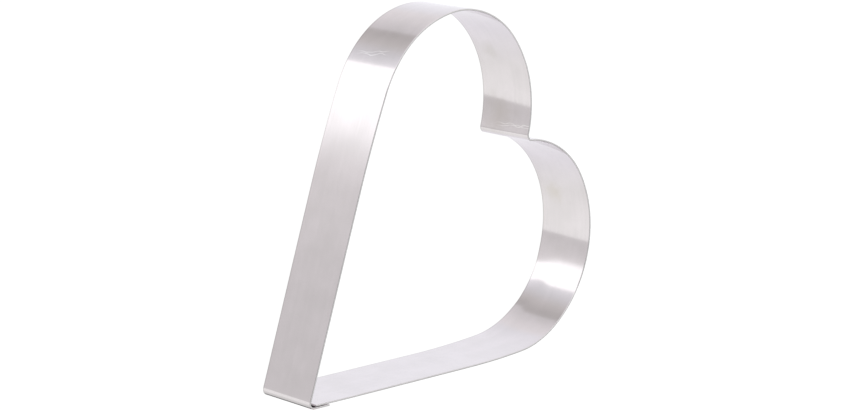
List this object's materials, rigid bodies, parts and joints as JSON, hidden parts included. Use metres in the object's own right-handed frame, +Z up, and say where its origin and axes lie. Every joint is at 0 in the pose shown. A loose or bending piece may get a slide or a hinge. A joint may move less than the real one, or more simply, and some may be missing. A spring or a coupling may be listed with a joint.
{
  "type": "heart mousse ring",
  "caption": "Open heart-shaped pastry ring: a strip of stainless sheet folded at the notch, rolled round the lobes, lapped and spot-welded at the tip.",
  "frame": {"origin": "on the surface that the ring lies on, under the middle of its bounding box", "axes": "+Z up along the band's height, +Y from the tip towards the notch, +X to the lapped leg's side"},
  "size_m": [0.215, 0.2247, 0.035],
  "materials": {
    "stainless_sheet": "bright cold-rolled stainless sheet, fine lengthwise rolling grain, light handling marks",
    "weld_steel": "fused stainless steel, dull, faint straw heat tint"
  },
  "bodies": {
    "root": {"heart_band": "stainless_sheet", "spot_weld_1": "weld_steel", "spot_weld_2": "weld_steel", "spot_weld_3": "weld_steel"}
  },
  "joints": []
}
